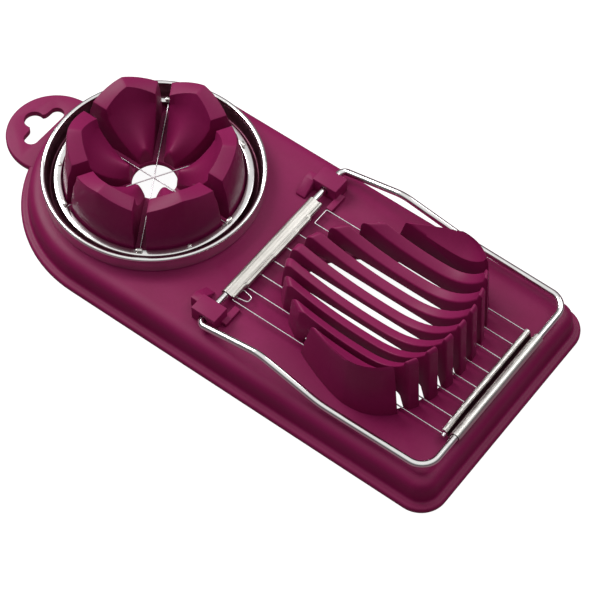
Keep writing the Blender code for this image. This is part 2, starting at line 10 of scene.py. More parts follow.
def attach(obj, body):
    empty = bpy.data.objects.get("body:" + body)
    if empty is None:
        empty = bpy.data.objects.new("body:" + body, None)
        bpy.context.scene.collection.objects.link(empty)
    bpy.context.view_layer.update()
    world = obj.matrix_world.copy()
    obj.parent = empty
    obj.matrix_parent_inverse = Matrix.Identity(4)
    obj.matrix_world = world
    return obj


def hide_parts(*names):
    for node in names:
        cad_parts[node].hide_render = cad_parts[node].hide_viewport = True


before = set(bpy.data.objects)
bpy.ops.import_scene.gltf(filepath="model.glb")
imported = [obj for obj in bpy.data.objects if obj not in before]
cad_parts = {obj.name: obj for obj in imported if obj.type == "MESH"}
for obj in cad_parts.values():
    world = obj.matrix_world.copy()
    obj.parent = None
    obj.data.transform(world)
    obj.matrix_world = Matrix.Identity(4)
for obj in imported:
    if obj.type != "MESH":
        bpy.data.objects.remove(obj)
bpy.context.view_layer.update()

MM = 0.001  # the sizes in this file are in millimetres, and the meshes in metres

# Base
RING_X = -43.0  # axis of the wedge cutter
ROUND_END_X = -41.8  # axis of the base's round end
HALF_WIDTH = 47.5
FRONT_X = 106.0
CORNER = 9.6
DECK_Z = 11.5
BURY = 0.6  # how far raised shapes sink into the deck, so that no gap shows
RAISED_Z = DECK_Z - BURY  # where the raised shapes start
CENTRE_HOLE = 7.9
PETAL_CREST = 34.8  # rim height at the middle of a petal
PETAL_GAP_LOW = 2.0  # half the width of the gap between petals, at the deck
PETAL_GAP_MORE = 0.5  # how much wider that is at the crest
TAB_X = -88.8
TAB_RADIUS = 17.2
TAB_TOP = 2.44
TAB_END_X = -85.2  # where the tab stops, inside the base's rim
LOBE_X, LOBE_Y, LOBE = -93.6, 6.9, 2.7  # the two lobes of the tab's hole that lie side by side
TIP_X, TIP = -98.2, 3.6  # and the third, which a hook rests in

# Cradle
CRADLE_X = 62.0  # where it is widest
CRADLE_HALF = 31.6
CRADLE_BACK = 45.0  # reach of the rim from CRADLE_X towards the hinge
CRADLE_FRONT = 22.2  # and towards the front
FLARE = 1.8  # how far the foot stands outside the rim
RIB = 3.5
UNDER_Z = 17.4  # underside of the ribs
RIM_BACK_Z = 25.4
RIM_RISE = 13.2  # how much higher the rim is at the front
BOWL_Z = 20.2  # lowest place of the bowl
BOWL_LOW_SHARE = 0.536  # where that is, as a share of the bowl's length from the back
SLOT_HALF = 25.8  # half the width of the deck's opening under the ribs
SLOT_BACK = 4.5  # how far that opening stays inside the rim at the back
SLOT_FRONT = 2.3  # and inside the foot at the front

# Hinge blocks
BLOCK_INNER_Y, BLOCK_OUTER_Y = 29.8, 36.7
BLOCK_TOP = 17.3
BORE = 1.55

# Harp
PITCH = 6.93
WIRES = 8
AXIS_X, AXIS_Z = 7.0, 14.4
ROD = 1.25
ROD_SHIFT = 0.9  # how far the rod sits to the far side
ARM_Y = 39.7
FRONT_RUN_X, FRONT_RUN_Z = 99.0, 15.2
WRAP = 1.6  # radius of a strip's middle round the rod
SHEET = 0.3
HINGE_STRIP_HALF = 24.2
FRONT_STRIP_HALF = 23.8
WIRE = 0.25
WIRE_Z = 13.7
WIRE_FRONT_X = 94.6
WIRE_BACK_X = 10.6
LINK_BACK_X = 13.3  # the two far strands end sooner, at their link
LOOP_X = 14.4  # how far the near strands' loop reaches forward
CRIMP_X, CRIMP_Z = 95.3, 14.2
CRIMP_Y, CRIMP_LENGTH = -25.65, 1.5  # its near end, and how far it runs from there

# Wedger ring
RIM_TOP = 18.4
RING_FOOT = DECK_Z + 0.3
WEDGE_WIRE = 0.2
WEDGE_WIRE_REACH = 33.4
WEDGE_WIRE_Z = 12.3  # lowest of the three, which cross over one another
WEDGE_WIRE_STEP = 0.65


# ---------------------------------------------------------------- materials


def link(tree, a, b):
    tree.links.new(a, b)


def noise(tree, coords, scale, stretch=(1, 1, 1), detail=3.0, rotation=(0, 0, 0)):
    """A noise texture in object space. stretch above 1 packs the pattern tighter along that axis."""
    mapping = tree.nodes.new("ShaderNodeMapping")
    mapping.inputs["Scale"].default_value = stretch
    mapping.inputs["Rotation"].default_value = rotation
    link(tree, coords, mapping.inputs["Vector"])
    texture = tree.nodes.new("ShaderNodeTexNoise")
    texture.inputs["Scale"].default_value = scale
    texture.inputs["Detail"].default_value = detail
    link(tree, mapping.outputs["Vector"], texture.inputs["Vector"])
    return texture.outputs["Fac"]


def spread(tree, value, low, high, from_low=0.3, from_high=0.7):
    """Maps a noise value onto low to high, held to those ends."""
    ranged = tree.nodes.new("ShaderNodeMapRange")
    ranged.inputs["From Min"].default_value = from_low
    ranged.inputs["From Max"].default_value = from_high
    ranged.inputs["To Min"].default_value = low
    ranged.inputs["To Max"].default_value = high
    link(tree, value, ranged.inputs["Value"])
    return ranged.outputs["Result"]


def add(tree, a, b, operation="ADD"):
    maths = tree.nodes.new("ShaderNodeMath")
    maths.operation = operation
    link(tree, a, maths.inputs[0])
    link(tree, b, maths.inputs[1])
    return maths.outputs["Value"]


def mix_colour(tree, factor, dark, light):
    mixer = tree.nodes.new("ShaderNodeMix")
    mixer.data_type = "RGBA"
    mixer.inputs["A"].default_value = (*dark, 1)
    mixer.inputs["B"].default_value = (*light, 1)
    link(tree, factor, mixer.inputs["Factor"])
    return mixer.outputs["Result"]


def new_material(name, metallic):
    material = bpy.data.materials.new(name)
    material.use_nodes = True
    tree = material.node_tree
    shader = tree.nodes["Principled BSDF"]
    shader.inputs["Metallic"].default_value = metallic
    coords = tree.nodes.new("ShaderNodeTexCoord").outputs["Object"]
    return material, tree, shader, coords


def bump(tree, shader, height, strength, distance):
    bumped = tree.nodes.new("ShaderNodeBump")
    bumped.inputs["Strength"].default_value = strength
    bumped.inputs["Distance"].default_value = distance
    link(tree, height, bumped.inputs["Height"])
    link(tree, bumped.outputs["Normal"], shader.inputs["Normal"])


def plastic_material():
    """Satin moulded plastic: cloudy colour, fine moulded grain and hairline scuffs from washing."""
    material, tree, shader, coords = new_material("maroon_plastic_satin", 0.0)
    cloud = noise(tree, coords, 45, detail=4)
    fine = noise(tree, coords, 900, detail=2)
    tone = add(tree, spread(tree, cloud, 0.0, 0.75), spread(tree, fine, 0.0, 0.25))
    colour = mix_colour(tree, tone, (0.180, 0.0055, 0.056), (0.215, 0.0085, 0.074))
    link(tree, colour, shader.inputs["Base Color"])
    scuff_a = noise(tree, coords, 60, (1, 26, 1), 2, (0, 0, 0.5))
    scuff_b = noise(tree, coords, 60, (24, 1, 1), 2, (0, 0, -0.3))
    scuffed_a = spread(tree, scuff_a, 0, 1, 0.66, 0.74)
    scuffed_b = spread(tree, scuff_b, 0, 1, 0.67, 0.75)
    scuffs = add(tree, scuffed_a, scuffed_b, "MAXIMUM")
    grain = noise(tree, coords, 2600, detail=2)
    rough = add(tree, spread(tree, cloud, 0.42, 0.50), spread(tree, scuffs, 0.0, 0.09, 0, 1))
    link(tree, rough, shader.inputs["Roughness"])
    height = add(tree, spread(tree, grain, 0.0, 1.0), spread(tree, scuffs, 0.0, -0.6, 0, 1))
    bump(tree, shader, height, 0.10, 0.00006)
    shader.inputs["Specular IOR Level"].default_value = 0.2
    return material


def chrome_material():
    """Polished chrome plate with faint hazing and tiny pits."""
    material, tree, shader, coords = new_material("chrome_polished", 1.0)
    haze = noise(tree, coords, 160, detail=5)
    pits = noise(tree, coords, 3000, detail=1)
    colour = mix_colour(tree, spread(tree, haze, 0, 1), (0.74, 0.73, 0.72), (0.86, 0.85, 0.84))
    link(tree, colour, shader.inputs["Base Color"])
    rough = add(tree, spread(tree, haze, 0.10, 0.19), spread(tree, pits, 0.0, 0.08, 0.62, 0.72))
    link(tree, rough, shader.inputs["Roughness"])
    bump(tree, shader, pits, 0.05, 0.00003)
    return material


def brushed_material(name, stretch, dark, light, smooth, rough_most):
    """Steel with grain lines, between two colours and two roughnesses."""
    material, tree, shader, coords = new_material(name, 1.0)
    lines = noise(tree, coords, 120, stretch, 4)
    patches = noise(tree, coords, 90, detail=3)
    tone = add(tree, spread(tree, lines, 0, 0.65, 0.25, 0.75), spread(tree, patches, 0, 0.35))
    link(tree, mix_colour(tree, tone, dark, light), shader.inputs["Base Color"])
    grained = spread(tree, lines, smooth, rough_most, 0.25, 0.75)
    rough = add(tree, grained, spread(tree, patches, 0.0, 0.06))
    link(tree, rough, shader.inputs["Roughness"])
    bump(tree, shader, lines, 0.05, 0.00002)
    return material


plastic = plastic_material()
chrome = chrome_material()
sheet_steel = brushed_material(
    "steel_brushed_sheet", (12, 0.6, 12), (0.58, 0.56, 0.53), (0.78, 0.76, 0.73), 0.24, 0.38
)
strip_steel = brushed_material(
    "steel_brushed_strip", (9, 0.5, 9), (0.36, 0.345, 0.32), (0.66, 0.64, 0.60), 0.28, 0.42
)
# Painted shade: a dark, maroon-tinted steel that stands in for the shade and for a painted reflection of the
# maroon deck in hollows of the chrome and the strip.
painted_shade_steel = brushed_material(
    "steel_painted_shade", (3, 3, 3), (0.085, 0.024, 0.042), (0.150, 0.060, 0.085), 0.34, 0.5
)
wire_steel = brushed_material(
    "steel_drawn_wire", (6, 6, 6), (0.66, 0.60, 0.63), (0.88, 0.84, 0.86), 0.18, 0.3
)


# ---------------------------------------------------------------- helpers


def show(name, mesh, material, body, slot, *nodes):
    """Adds a finished piece, which rides on body and stands in for the CAD nodes."""
    item = bpy.data.objects.new(name, mesh)
    bpy.context.scene.collection.objects.link(item)
    mesh.materials.clear()
    mesh.materials.append(material)
    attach(item, body)
    if nodes:
        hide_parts(*nodes)
    return item


def paint_shade_inside(mesh, inside):
    """Paints shade on the faces whose middle, in millimetres, lies inside, by giving them the dark,
    maroon-tinted painted-shade steel.
    """
    mesh.materials.append(painted_shade_steel)
    for face in mesh.polygons:
        if inside(face.center / MM):
            face.material_index = 1


def mesh_from(bm, name, angle=38):
    """Turns millimetres into a smooth-shaded mesh in metres."""
    bmesh.ops.recalc_face_normals(bm, faces=bm.faces)
    for vert in bm.verts:
        vert.co *= MM
    mesh = bpy.data.meshes.new(name)
    bm.to_mesh(mesh)
    bm.free()
    mesh.shade_smooth()
    mesh.set_sharp_from_angle(angle=radians(angle))
    return mesh


def settle(name, mesh, cutters=(), edge=0.0, segments=3, angle=38, joins=()):
    """The mesh with joins added, cutters taken away and its edges rounded."""
    item = bpy.data.objects.new(name, mesh)
    bpy.context.scene.collection.objects.link(item)
    extras = []
    for operation, shapes in (("UNION", joins), ("DIFFERENCE", cutters)):
        for shape in shapes:
            other = bpy.data.objects.new("shape", shape)
            bpy.context.scene.collection.objects.link(other)
            extras.append(other)
            step = item.modifiers.new("step", "BOOLEAN")
            step.operation = operation
            step.solver = "EXACT"
            step.object = other
    if edge:
        rounding = item.modifiers.new("round", "BEVEL")
        rounding.width = edge * MM
        rounding.segments = segments
        rounding.limit_method = "ANGLE"
        rounding.angle_limit = radians(angle)
        rounding.miter_outer = "MITER_ARC"
        rounding.use_clamp_overlap = True
    graph = bpy.context.evaluated_depsgraph_get()
    done = bpy.data.meshes.new_from_object(item.evaluated_get(graph), depsgraph=graph)
    for other in [item, *extras]:
        bpy.data.objects.remove(other)
    done.name = name
    done.shade_smooth()
    done.set_sharp_from_angle(angle=radians(angle))
    return done


def loft(sections, close_ends=True):
    """A skin over closed sections that all have the same number of points."""
    bm = bmesh.new()
    rings = [[bm.verts.new(point) for point in section] for section in sections]
    count = len(rings[0])
    for lower, upper in zip(rings, rings[1:]):
        for i in range(count):
            j = (i + 1) % count
            bm.faces.new((lower[i], lower[j], upper[j], upper[i]))
    if close_ends:
        bm.faces.new(rings[0][::-1])
        bm.faces.new(rings[-1])
    return bm


def prism(outline, low, high):
    """A flat (x, y) outline drawn up from low to high."""
    return loft([[(x, y, low) for x, y in outline], [(x, y, high) for x, y in outline]])


def arc(cx, cy, radius, start, end, steps):
    """Points on an arc, from start to end in degrees."""
    points = []
    for i in range(steps + 1):
        angle = radians(start + (end - start) * i / steps)
        points.append((cx + radius * cos(angle), cy + radius * sin(angle)))
    return points


def bend(corners, radii, steps=10):
    """A path through the corners, each inner corner turned into a round bend of its own radius."""
    corners = [Vector(corner) for corner in corners]
    points = [corners[0]]
    for before, here, after, radius in zip(corners, corners[1:], corners[2:], radii):
        back = (before - here).normalized()
        on = (after - here).normalized()
        half = back.angle(on) / 2
        reach = min(radius / tan(half), (before - here).length * 0.49, (after - here).length * 0.49)
        centre = here + (back + on).normalized() * reach / cos(half)
        start = here + back * reach - centre
        side = here + on * reach - centre
        square = (side - start.normalized() * side.dot(start.normalized())).normalized()
        sweep = pi - 2 * half
        for i in range(steps + 1):
            angle = sweep * i / steps
            points.append(centre + start * cos(angle) + square * start.length * sin(angle))
    points.append(corners[-1])
    return points


def tube(name, points, radius, material, body, slot, *nodes, sides=4):
    """A round wire or rod along the points."""
    curve = bpy.data.curves.new(name, "CURVE")
    curve.dimensions = "3D"
    curve.bevel_depth = radius * MM
    curve.bevel_resolution = sides
    curve.use_fill_caps = True
    spline = curve.splines.new("POLY")
    spline.points.add(len(points) - 1)
    for knot, point in zip(spline.points, points):
        knot.co = (*(Vector(point) * MM), 1.0)
    holder = bpy.data.objects.new(name, curve)
    bpy.context.scene.collection.objects.link(holder)
    graph = bpy.context.evaluated_depsgraph_get()
    mesh = bpy.data.meshes.new_from_object(holder.evaluated_get(graph), depsgraph=graph)
    bpy.data.objects.remove(holder)
    mesh.shade_smooth()
    mesh.set_sharp_from_angle(angle=radians(50))
    return show(name, mesh, material, body, slot, *nodes)


def turned(name, profile, centre_x, material, body, slot, *nodes, steps=144):
    """A closed (radius, z) profile turned round an upright axis."""
    sections = []
    for i in range(steps):
        angle = 2 * pi * i / steps
        sections.append([(centre_x + r * cos(angle), r * sin(angle), z) for r, z in profile])
    bm = loft(sections + sections[:1], close_ends=False)
    bmesh.ops.remove_doubles(bm, verts=bm.verts, dist=1e-4)
    return show(name, mesh_from(bm, name, 32), material, body, slot, *nodes)


# ---------------------------------------------------------------- base


def base_outline(inset):
    """The base from above: round at the tab's end, with two rounded corners at the front."""
    radius = HALF_WIDTH - inset
    corner = max(CORNER - inset, 0.6)
    front = FRONT_X - inset
    points = arc(ROUND_END_X, 0, radius, 90, 270, 60)
    points += arc(front - corner, -radius + corner, corner, -90, 0, 14)
    points += arc(front - corner, radius - corner, corner, 0, 90, 14)
    return points


def cradle_reach(y, half=CRADLE_HALF, back=CRADLE_BACK, front=CRADLE_FRONT):
    """Where the cradle's rim is at y: its x at the back and at the front."""
    share = max(0.0, 1 - (y / half) ** 2)
    back_part = 0.35 * share**0.5 + 0.65 * share**0.95
    return CRADLE_X - back * back_part, CRADLE_X + front * share**0.42


def make_shell():
    """The hollow base, as (inset, height) up its inside and its outside, open below the cradle."""
    inner = [(8.4, 9.3), (7.0, 8.8), (5.9, 7.6), (5.3, 4.0), (4.8, 1.2), (4.5, 0.3), (4.2, 0.0)]
    outer = [(0.3, 0.0), (0.05, 0.25), (0.0, 0.6), (0.0, 1.35), (0.08, 1.75), (0.35, 2.1), (0.8, 2.3)]
    outer += [(1.5, 2.38), (2.1, 2.42), (2.5, 2.6), (2.75, 2.95), (2.85, 3.5), (3.05, 6.4), (3.2, 7.8)]
    outer += [(3.5, 8.9), (4.0, 9.85), (4.7, 10.55), (5.5, 11.0), (6.4, 11.3), (7.4, 11.46), (8.4, DECK_Z)]
    sections = [[(x, y, z) for x, y in base_outline(inset)] for inset, z in inner + outer]
    shell = mesh_from(loft(sections), "shell")
    steps = 24
    back_side, front_side = [], []
    for i in range(steps + 1):
        y = SLOT_HALF * (2 * i / steps - 1)
        back, front = cradle_reach(y)
        back_side.append((back + SLOT_BACK, y))
        front_side.append((front + FLARE - SLOT_FRONT, y))
    low, high = 4, 20  # well past both faces of the deck
    aperture = mesh_from(prism(front_side + back_side[::-1], low, high), "aperture")
    hole = mesh_from(prism(arc(RING_X, 0, CENTRE_HOLE, 0, 355, 71), low, high), "hole")
    mesh = settle("base_shell_skin", shell, [aperture, hole], 0.35, 2, 50)
    show("base_shell_skin", mesh, plastic, "base", "maroon_plastic", "base_shell")


def make_tab():
    """The hanging tab, run into the base's rim so that the two read as one moulding."""
    profile = [(0.35, 0.06), (0.08, 0.2), (0, 0.5), (0, 1.7), (0.12, 2.1), (0.35, 2.35), (0.8, TAB_TOP)]
    sections = []
    for inset, z in profile:
        section = arc(TAB_X, 0, TAB_RADIUS - inset, 68, 292, 56)
        section += [(TAB_END_X, -12.0), (TAB_END_X, 12.0)]
        sections.append([(x, y, z) for x, y in section])
    tab = mesh_from(loft(sections), "tab")
    outline = arc(LOBE_X, LOBE_Y, LOBE, 0, 165, 12)
    outline += [(-96.35, 5.2), (-96.6, 4.2), (-97.1, 3.55)]
    outline += arc(TIP_X, 0, TIP, 76, 284, 22)
    outline += [(-97.1, -3.55), (-96.6, -4.2), (-96.35, -5.2)]
    outline += arc(LOBE_X, -LOBE_Y, LOBE, 195, 360, 12)
    hole = mesh_from(prism(outline, -2, 6), "hole")
    mesh = settle("hanging_tab_skin", tab, [hole], 0.3, 3, 50)
    show("hanging_tab_skin", mesh, plastic, "base", "maroon_plastic", "hanging_tab")


def petal_section(share):
    """(radius, z) round a petal's upright section: share is 0 at its middle and 1 at its ends."""
    rim = PETAL_CREST - 4.2 * share**1.15
    even = 34.0 - 3.4 * share**2
    tip = 18.6 - 4.4 * share**2
    inner = 23.9 - 1.7 * share
    outer = 28.6 - 0.6 * share
    points = [(31.7, RAISED_Z), (31.35, DECK_Z + 0.5), (31.1, DECK_Z + 2.4), (30.85, 16.5)]
    points += [(30.5, 19.4), (30.1, 22.2), (29.7, 25.0), (outer + 0.55, rim - 2.6)]
    points += [(outer, rim), (inner, rim)]
    # the bowl, as (radius, share of the way up from the tip)
    bowl = [(21.7, 0.72), (20.0, 0.54), (18.0, 0.385), (15.8, 0.245), (13.6, 0.14), (11.6, 0.06)]
    for radius, part in bowl:
        reach = even + (rim - even) * part**3
        points.append((radius, tip + (reach - tip) * part))
    points += [(9.9, tip + 0.05), (9.1, tip - 0.2), (8.55, tip - 0.8), (8.3, tip - 1.7), (8.2, RAISED_Z)]
    return points


def make_petals():
    half = pi / 6
    shares = [i / 10 for i in range(-10, 0)] + [-0.02, 0.02] + [i / 10 for i in range(1, 11)]
    for number in range(6):
        middle = (2 * number + 1) * half
        sections = []
        for share in shares:
            section = []
            for radius, z in petal_section(abs(share)):
                side = PETAL_GAP_LOW + PETAL_GAP_MORE * (z - DECK_Z) / (PETAL_CREST - DECK_Z)
                angle = middle + share * (half - asin(side / radius))
                section.append((RING_X + radius * cos(angle), radius * sin(angle), z))
            sections.append(section)
        name = f"petal_{number + 1}"
        mesh = settle(name, mesh_from(loft(sections), name, 30), edge=0.55, segments=3, angle=26)
        show(f"{name}_skin", mesh, plastic, "base", "maroon_plastic", name)


# ---------------------------------------------------------------- cradle


def rim_height(x):
    share = (x - (CRADLE_X - CRADLE_BACK)) / (CRADLE_BACK + CRADLE_FRONT)
    return RIM_BACK_Z + RIM_RISE * max(share, 0) ** 0.82


def bowl_points(y, back, front, edge, steps):
    """(x, z) along the cradle's inner surface at y, between rims that are edge wide."""
    low = BOWL_Z + 0.0125 * y**2 + 2.2 * (y / CRADLE_HALF) ** 8
    points = []
    for i in range(steps + 1):
        x = back + edge + (front - back - 2 * edge) * i / steps
        share = (x - back) / max(front - back, 1e-6)
        if share < BOWL_LOW_SHARE:
            z = low + (rim_height(back) - low) * (1 - share / BOWL_LOW_SHARE) ** 2.1
        else:
            z = low + (rim_height(front) - low) * ((share - BOWL_LOW_SHARE) / (1 - BOWL_LOW_SHARE)) ** 3.0
        points.append((x, z))
    return points


def rib_outline(y):
    """(x, z) round a rib: up its back end, down the bowl, over its front end and back underneath."""
    back, front = cradle_reach(y)
    low = RAISED_Z
    top = rim_height(back)
    points = [(back - FLARE, low), (back - 1.2, 17.5), (back - 0.5, top - 3.8)]
    points += [(back - 0.25, top - 2.8), (back + 0.05, top - 2.1)]
    points += [(back + 0.5, top - 1.5), (back + 1.1, top - 1.1)]
    points += bowl_points(y, back, front, 2.1, 24)
    top = rim_height(front)
    points += [(front - 1.3, top - 0.25), (front - 0.6, top - 0.55)]
    points += [(front - 0.1, top - 1.15), (front + 0.15, top - 2.0)]
    points += [(front + 0.9, 24), (front + FLARE, low)]
    points += [(front + FLARE - 2.6, low), (front - 2.4, UNDER_Z - 0.9), (front - 3.4, UNDER_Z)]
    points += [(back + 6, UNDER_Z), (back + 3, UNDER_Z - 2), (back - FLARE + 2.6, low)]
    return points


def make_ribs():
    for number in range(WIRES - 1):
        middle = (WIRES / 2 - 1 - number) * PITCH
        sections = []
        for y in (middle - RIB / 2, middle + RIB / 2):
            sections.append([(x, y, z) for x, z in rib_outline(y)])
        name = f"cradle_rib_{number + 1}"
        mesh = settle(name, mesh_from(loft(sections), name), edge=0.75, segments=4, angle=32)
        show(f"{name}_skin", mesh, plastic, "base", "maroon_plastic", name)


def wall_section(share, side):
    """Points round a side wall's section: share is 0 beside the last rib and 1 at the very side."""
    inner = (WIRES - 1) / 2 * PITCH + (PITCH - RIB) / 2
    foot_half = CRADLE_HALF + FLARE
    y = inner + (CRADLE_HALF - inner) * share
    foot_y = inner + (foot_half - inner) * share
    back, front = cradle_reach(y)
    foot_back, foot_front = cradle_reach(foot_y, foot_half, CRADLE_BACK + FLARE, CRADLE_FRONT + FLARE)
    low = RAISED_Z
    back_z, front_z = rim_height(back), rim_height(front)
    edge = min(1.6, (front - back) * 0.2)
    upper = [(back, back_z - edge * 1.5), (back + edge * 0.2, back_z - edge * 0.9)]
    upper.append((back + edge * 0.6, back_z - edge * 0.5))
    upper += bowl_points(y, back, front, edge * 1.2, 26)
    upper.append((front - edge * 0.6, front_z - edge * 0.2))
    upper += [(front - edge * 0.2, front_z - edge * 0.6), (front, front_z - edge * 1.2)]
    span = foot_front - foot_back
    under = low + (UNDER_Z - low) * max(0.0, 1 - (share / 0.8) ** 2)
    section = [(foot_back, side * foot_y, low)]
    for part in (0.35, 0.7):
        x = foot_back + (back - foot_back) * part
        out = foot_y + (y - foot_y) * part
        section.append((x, side * out, low + (back_z - edge - low) * part))
    section += [(x, side * y, z) for x, z in upper]
    for part in (0.3, 0.65):
        x = front + (foot_front - front) * part
        out = y + (foot_y - y) * part
        top = front_z - edge
        section.append((x, side * out, top + (low - top) * part))
    section.append((foot_front, side * foot_y, low))
    section.append((foot_front - span * 0.05, side * foot_y, low))
    section.append((foot_front - span * 0.08, side * y, under))
    section.append((foot_back + span * 0.16, side * y, under))
    section.append((foot_back + span * 0.07, side * foot_y, low))
    return section


def make_walls():
    shares = [0.0, 0.1, 0.2, 0.3, 0.4, 0.5, 0.6, 0.69, 0.77, 0.84, 0.895, 0.935, 0.965, 0.985, 0.995]
    shares += [0.999, 1.0]
    for name, side in (("cradle_wall_near", -1), ("cradle_wall_far", 1)):
        sections = [wall_section(share, side) for share in shares]
        bm = loft(sections)
        bmesh.ops.remove_doubles(bm, verts=bm.verts, dist=0.004)
        bmesh.ops.dissolve_degenerate(bm, edges=bm.edges, dist=0.004)
        mesh = settle(name, mesh_from(bm, name), edge=0.8, segments=4, angle=48)
        show(f"{name}_skin", mesh, plastic, "base", "maroon_plastic", name)


def slab(low, high):
    """A box between two corners."""
    corners = [(low[0], low[1]), (high[0], low[1]), (high[0], high[1]), (low[0], high[1])]
    return prism(corners, low[2], high[2])


def make_blocks():
    """Hinge blocks: body, sloping buttress on the ring's side, low foot in front and the axle's bore."""
    low = RAISED_Z
    for name, side in (("hinge_block_near", -1), ("hinge_block_far", 1)):
        spans = sorted((side * BLOCK_INNER_Y, side * BLOCK_OUTER_Y))
        body = mesh_from(slab((2.2, spans[0], low), (12.0, spans[1], BLOCK_TOP)), name)
        slope = [(33.0, low), (24.6, low), (24.6, low + 1.4), (BLOCK_INNER_Y, 16.1), (33.0, 16.1)]
        buttress = mesh_from(loft([[(x, side * y, z) for y, z in slope] for x in (-1.0, 2.8)]), name)
        foot_span = sorted((side * 25.2, side * 33.0))
        foot = mesh_from(slab((11.4, foot_span[0], low), (13.9, foot_span[1], 13.1)), name)
        centre = side * 33.2
        ring = [(AXIS_X + x, z) for x, z in arc(0, AXIS_Z, BORE, 0, 345, 23)]
        bore = mesh_from(loft([[(x, y, z) for x, z in ring] for y in (centre - 10, centre + 10)]), name)
        mesh = settle(name, body, [bore], 0.55, 3, 50, joins=[buttress, foot])
        show(f"{name}_skin", mesh, plastic, "base", "maroon_plastic", name)


# ---------------------------------------------------------------- harp


def strand_y(number):
    """Where slicing wire 1 to 8 runs, counted from the far side."""
    return ((WIRES + 1) / 2 - number) * PITCH


def make_rod():
    """One bent rod: inturned axle ends, arched arms and a straight front run."""
    half = [(AXIS_X, 15, AXIS_Z), (AXIS_X, ARM_Y, AXIS_Z), (32.2, ARM_Y + 0.4, 20.2)]
    half += [(57.4, ARM_Y + 1.2, FRONT_RUN_Z), (FRONT_RUN_X, ARM_Y + 0.7, FRONT_RUN_Z)]
    corners = [(x, y + ROD_SHIFT, z) for x, y, z in half]
    corners += [(x, -y + ROD_SHIFT, z) for x, y, z in reversed(half)]
    path = bend(corners, [2.4, 14, 34, 6.5, 6.5, 34, 14, 2.4], 14)
    tube("harp_rod_skin", path, ROD, chrome, "harp", "chrome", "harp_rod", sides=8)


def ribbon(path, thickness):
    """A closed outline of even thickness along a path of (x, z) points."""
    left, right = [], []
    for i, (x, z) in enumerate(path):
        before = path[max(i - 1, 0)]
        after = path[min(i + 1, len(path) - 1)]
        length = hypot(after[0] - before[0], after[1] - before[1])
        nx = -(after[1] - before[1]) / length * thickness / 2
        nz = (after[0] - before[0]) / length * thickness / 2
        left.append((x + nx, z + nz))
        right.append((x - nx, z - nz))
    return left + right[::-1]


def step_in(value, start, end):
    """0 up to start, 1 from end on, and an even blend between."""
    share = min(1.0, max(0.0, (value - start) / (end - start)))
    return share * share * (3 - 2 * share)


def dip(y, numbers, half):
    """1 at the given strands, falling to 0 half a width away."""
    return max(1 - step_in(abs(y - strand_y(number)), half * 0.35, half) for number in numbers)


def make_strip(name, half_length, path_at, material, node):
    """A folded and rolled strip: path_at gives its fold at each place along it."""
    steps = 160
    sections = []
    for i in range(steps + 1):
        y = half_length * (2 * i / steps - 1)
        sections.append([(x, y, z) for x, z in ribbon(path_at(y), SHEET)])
    return show(name, mesh_from(loft(sections), name, 40), material, "harp", "steel", node)


def hinge_path(y):
    """Round the axle, down a shallow trough and over a small lip that is cut back at its ends."""
    back = 0.6 * step_in(abs(y), 17.0, 17.9)
    back += 0.2625 * step_in(-y, 2.6, 3.4) + 0.1875 * step_in(y, 10.0, 10.6)
    path = [(AXIS_X + x, AXIS_Z + z) for x, z in arc(0, 0, WRAP, 250, 70, 26)]
    path += [(8.1, 15.6), (8.8, 15.3), (9.4, 15.2), (9.9 - back * 0.5, 15.3), (10.3 - back * 0.8, 15.5)]
    path += [(10.65 - back, 15.58), (11.0 - back, 15.5), (11.22 - back, 15.25), (11.3 - back, 14.9)]
    path.append((11.3 - back, 14.5))
    return path


def front_path(y):
    """Round the rod's front run, down into a narrow trough and up to a small rolled lip."""
    thin = step_in(-y, 12.0, 23.5)
    wave = dip(y, range(1, WIRES + 1), 3.4)
    path = [(FRONT_RUN_X + x, FRONT_RUN_Z + z) for x, z in arc(0, 0, WRAP, 190, -150, 38)]
    path += [(97.15, 13.6), (96.9, 13.0), (96.6, 12.72), (96.3, 12.72), (96.05, 13.0), (95.9, 13.6)]
    top = 15.95 - 0.7 * thin + 0.1 * wave
    path += [(95.8, 14.5), (95.7, 15.1 - thin * 0.4), (95.55 - thin * 0.2, top - 0.35)]
    path += [(95.3 - thin * 0.3, top - 0.08), (94.95 - thin * 0.15, top), (94.5, top), (94.2, top - 0.12)]
    path += [(94.0 + thin * 0.1, top - 0.4), (93.95 + thin * 0.2, top - 0.85)]
    return path


def wire_back_x(number):
    return LINK_BACK_X if number < 3 else WIRE_BACK_X


def make_strands():
    for number in range(1, WIRES + 1):
        y = strand_y(number)
        ends = [(wire_back_x(number), y, WIRE_Z), (WIRE_FRONT_X, y, WIRE_Z)]
        name = f"slicing_wire_{number}"
        tube(f"{name}_skin", ends, WIRE, wire_steel, "harp", "steel", name, sides=3)


def make_turns():
    """The wire's turns at the hinge, each joining two strands. The last one is a loop."""
    for number in range(1, WIRES, 2):
        first, second = strand_y(number), strand_y(number + 1)
        start = wire_back_x(number) + 0.05
        turn = start - 0.9
        corners = [(start, first, WIRE_Z), (turn, first, WIRE_Z)]
        radii = [0.5, 0.5]
        if number == WIRES - 1:
            corners.append((turn, first - 1.5, WIRE_Z))
            corners.append((LOOP_X, first - 2.3, WIRE_Z))
            corners.append((LOOP_X, second + 2.3, WIRE_Z))
            corners.append((turn, second + 1.5, WIRE_Z))
            radii = [0.5, 0.5, 1.0, 1.0, 0.5, 0.5]
        corners += [(turn, second, WIRE_Z), (start, second, WIRE_Z)]
        name = f"wire_turn_{number}"
        tube(f"{name}_skin", bend(corners, radii, 6), WIRE, wire_steel, "harp", "steel", name, sides=3)


